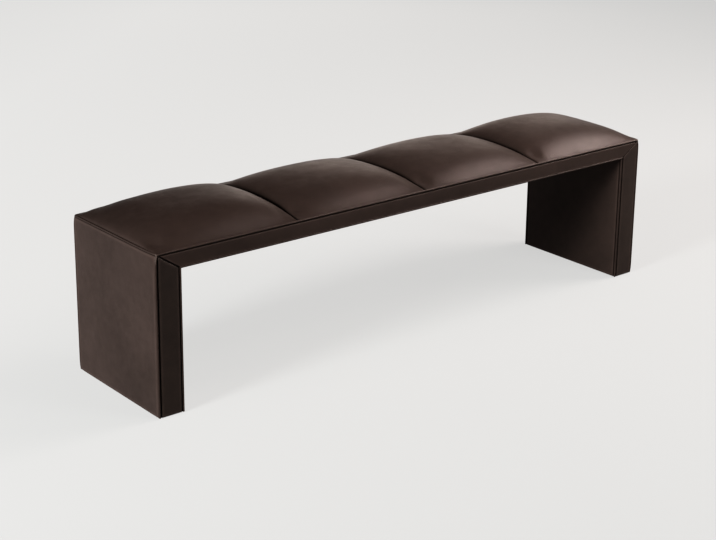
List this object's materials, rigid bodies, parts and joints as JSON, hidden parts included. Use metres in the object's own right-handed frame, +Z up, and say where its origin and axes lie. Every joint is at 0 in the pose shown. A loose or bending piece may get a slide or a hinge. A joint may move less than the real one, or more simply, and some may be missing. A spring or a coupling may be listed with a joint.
{
  "type": "upholstered bench",
  "caption": "Long slim bed bench in dark leather: box legs and a mitred seat rail on a bolted steel frame, with a row of crowned cushions along the top.",
  "frame": {"origin": "on the floor, under the middle of the bench", "axes": "+X along the bench, -Y towards the front face, +Z up"},
  "size_m": [1.7, 0.386, 0.4772],
  "materials": {
    "seat_leather": "satin",
    "side_leather": "satin",
    "leg_leather": "satin",
    "rail_leather": "satin",
    "welt_leather": "satin",
    "foam": "matte",
    "lining_cloth": "matte",
    "plywood": "matte",
    "hardboard": "matte",
    "frame_steel": "matte",
    "zinc_steel": "satin",
    "glide_plastic": "matte"
  },
  "bodies": {
    "root": {"board_screws": "zinc_steel", "bolt_washers": "zinc_steel", "frame_bolts": "zinc_steel", "front_rail_board": "plywood", "front_rail_leather": "rail_leather", "glide_screws": "zinc_steel", "left_front_floor_glide": "glide_plastic", "left_leg_base_cloth": "lining_cloth", "left_leg_edge_boards": "plywood", "left_leg_foot_cap": "plywood", "left_leg_foot_tube": "frame_steel", "left_leg_front_leather": "leg_leather", "left_leg_inner_board": "plywood", "left_leg_inner_leather": "leg_leather", "left_leg_outer_board": "plywood", "left_leg_outer_leather": "side_leather", "left_leg_padding": "foam", "left_leg_rear_leather": "leg_leather", "left_leg_top_tube": "frame_steel", "left_leg_uprights": "frame_steel", "left_leg_welts": "welt_leather", "left_rear_floor_glide": "glide_plastic", "listing_rods": "zinc_steel", "rail_lower_welts": "welt_leather", "rail_padding": "foam", "rear_rail_board": "plywood", "rear_rail_leather": "rail_leather", "right_front_floor_glide": "glide_plastic", "right_leg_base_cloth": "lining_cloth", "right_leg_edge_boards": "plywood", "right_leg_foot_cap": "plywood", "right_leg_foot_tube": "frame_steel", "right_leg_front_leather": "leg_leather", "right_leg_inner_board": "plywood", "right_leg_inner_leather": "leg_leather", "right_leg_outer_board": "plywood", "right_leg_outer_leather": "side_leather", "right_leg_padding": "foam", "right_leg_rear_leather": "leg_leather", "right_leg_top_tube": "frame_steel", "right_leg_uprights": "frame_steel", "right_leg_welts": "welt_leather", "right_rear_floor_glide": "glide_plastic", "seam_listing_strips": "lining_cloth", "seat_cross_tubes": "frame_steel", "seat_deck": "plywood", "seat_foam_1": "foam", "seat_foam_2": "foam", "seat_foam_3": "foam", "seat_foam_4": "foam", "seat_front_long_tube": "frame_steel", "seat_leather_1": "seat_leather", "seat_leather_2": "seat_leather", "seat_leather_3": "seat_leather", "seat_leather_4": "seat_leather", "seat_rear_long_tube": "frame_steel", "seat_welt": "welt_leather", "underside_board": "hardboard", "underside_leather": "rail_leather", "weld_nuts": "zinc_steel"}
  },
  "joints": []
}
